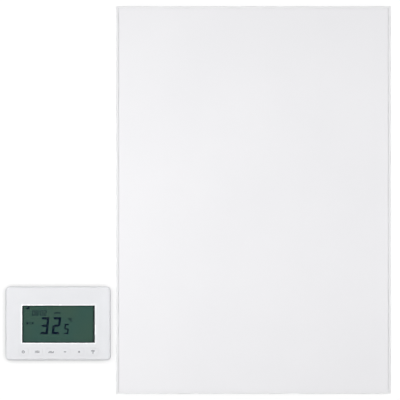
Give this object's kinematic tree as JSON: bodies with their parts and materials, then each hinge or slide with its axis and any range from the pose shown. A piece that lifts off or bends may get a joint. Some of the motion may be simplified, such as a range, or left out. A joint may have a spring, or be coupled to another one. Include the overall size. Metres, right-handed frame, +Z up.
{
  "type": "infrared panel heater",
  "caption": "Flat white infrared panel heater in a slim mitred frame, hung on keyhole wall brackets, with a wireless wall thermostat that has a large display and a row of keys.",
  "frame": {"origin": "middle of the panel on the wall plane, which is the centre of the four wall standoffs' screw holes", "axes": "+X to the viewer's right, +Y back into the wall, +Z up; the heating face looks along -Y"},
  "size_m": [0.592, 0.046, 0.595],
  "materials": {
    "plate_coat": "matt white powder coat on sheet steel",
    "frame_coat": "satin white powder coat on extruded aluminium",
    "bare_aluminium": "plain aluminium",
    "galvanised_steel": "spangled galvanised sheet",
    "turned_steel": "turned and zinc plated",
    "zinc_screws": "zinc plated",
    "bonding_tape": "white bonding tape",
    "amber_film": "amber insulating film",
    "resistance_alloy": "flat resistance strip",
    "glass_mat": "woven glass mat",
    "mineral_board": "pressed mineral fibre",
    "black_plastic": "fine textured black",
    "dark_plastic": "satin dark green-black",
    "cream_plastic": "cream moulded",
    "phenolic_plastic": "brown moulded",
    "black_rubber": "black",
    "silicone_rubber": "red-brown silicone",
    "brass_parts": "plated brass",
    "circuit_laminate": "green solder mask",
    "white_plastic": "satin white moulding",
    "clear_lens": "clear moulded window",
    "display_green": "green-grey reflective display",
    "light_guide_plastic": "milky light guide",
    "cell_sleeve": "plain printed sleeve"
  },
  "bodies": {
    "wall_fixings": {"wall_standoffs": "turned_steel", "thermostat_wall_plate": "white_plastic"},
    "panel": {"front_plate": "plate_coat", "frame_left": "frame_coat", "frame_right": "frame_coat", "frame_top": "frame_coat", "frame_bottom": "frame_coat", "corner_keys": "bare_aluminium", "plate_tape": "bonding_tape", "insulating_film": "amber_film", "heating_conductor": "resistance_alloy", "carrier_mat": "glass_mat", "reflector_foil": "bare_aluminium", "insulation_board": "mineral_board", "rear_cover": "galvanised_steel", "cover_screws": "zinc_screws", "wall_brackets": "galvanised_steel", "bracket_rivets": "bare_aluminium", "terminal_box": "black_plastic", "terminal_lid": "black_plastic", "lid_screws": "zinc_screws", "box_rivets": "bare_aluminium", "gland_body": "black_plastic", "gland_locknut": "black_plastic", "gland_nut": "black_plastic", "gland_seal": "black_rubber", "lead_grommet": "silicone_rubber", "heater_leads": "silicone_rubber", "terminal_block": "cream_plastic", "pole_screws": "brass_parts", "receiver_board": "circuit_laminate", "relay": "black_plastic", "thermal_cutout": "phenolic_plastic", "earth_terminal": "brass_parts"},
    "thermostat": {"front_shell": "white_plastic", "rear_shell": "white_plastic", "housing_screws": "zinc_screws", "display_lens": "clear_lens", "display_bezel": "dark_plastic", "display_glass": "display_green", "light_guide": "light_guide_plastic", "contact_strips": "silicone_rubber", "circuit_board": "circuit_laminate", "circuit_screws": "zinc_screws", "key_switches": "black_plastic", "radio_module": "circuit_laminate", "temperature_sensor": "black_plastic", "battery_cells": "cell_sleeve", "battery_contacts": "brass_parts"},
    "power_button": {"key_power": "white_plastic"},
    "levels_button": {"key_levels": "white_plastic"},
    "program_button": {"key_program": "white_plastic"},
    "minus_button": {"key_minus": "white_plastic"},
    "plus_button": {"key_plus": "white_plastic"},
    "wireless_button": {"key_wireless": "white_plastic"},
    "battery_cover": {"battery_lid": "white_plastic"}
  },
  "joints": [
    {"name": "panel_lift", "type": "slide", "parent": "wall_fixings", "child": "panel", "axis": [0, 0, 1], "range_m": [0, 0.012]},
    {"name": "thermostat_lift", "type": "slide", "parent": "wall_fixings", "child": "thermostat", "axis": [0, 0, 1], "range_m": [0, 0.005]},
    {"name": "power_press", "type": "slide", "parent": "thermostat", "child": "power_button", "axis": [0, 1, 0], "range_m": [0, 0.0005], "stiffness_N_per_m": 3000, "springref_m": -0.0002},
    {"name": "levels_press", "type": "slide", "parent": "thermostat", "child": "levels_button", "axis": [0, 1, 0], "range_m": [0, 0.0005], "stiffness_N_per_m": 3000, "springref_m": -0.0002},
    {"name": "program_press", "type": "slide", "parent": "thermostat", "child": "program_button", "axis": [0, 1, 0], "range_m": [0, 0.0005], "stiffness_N_per_m": 3000, "springref_m": -0.0002},
    {"name": "minus_press", "type": "slide", "parent": "thermostat", "child": "minus_button", "axis": [0, 1, 0], "range_m": [0, 0.0005], "stiffness_N_per_m": 3000, "springref_m": -0.0002},
    {"name": "plus_press", "type": "slide", "parent": "thermostat", "child": "plus_button", "axis": [0, 1, 0], "range_m": [0, 0.0005], "stiffness_N_per_m": 3000, "springref_m": -0.0002},
    {"name": "wireless_press", "type": "slide", "parent": "thermostat", "child": "wireless_button", "axis": [0, 1, 0], "range_m": [0, 0.0005], "stiffness_N_per_m": 3000, "springref_m": -0.0002},
    {"name": "battery_cover_slide", "type": "slide", "parent": "thermostat", "child": "battery_cover", "axis": [0, 0, -1], "range_m": [0, 0.03]}
  ]
}
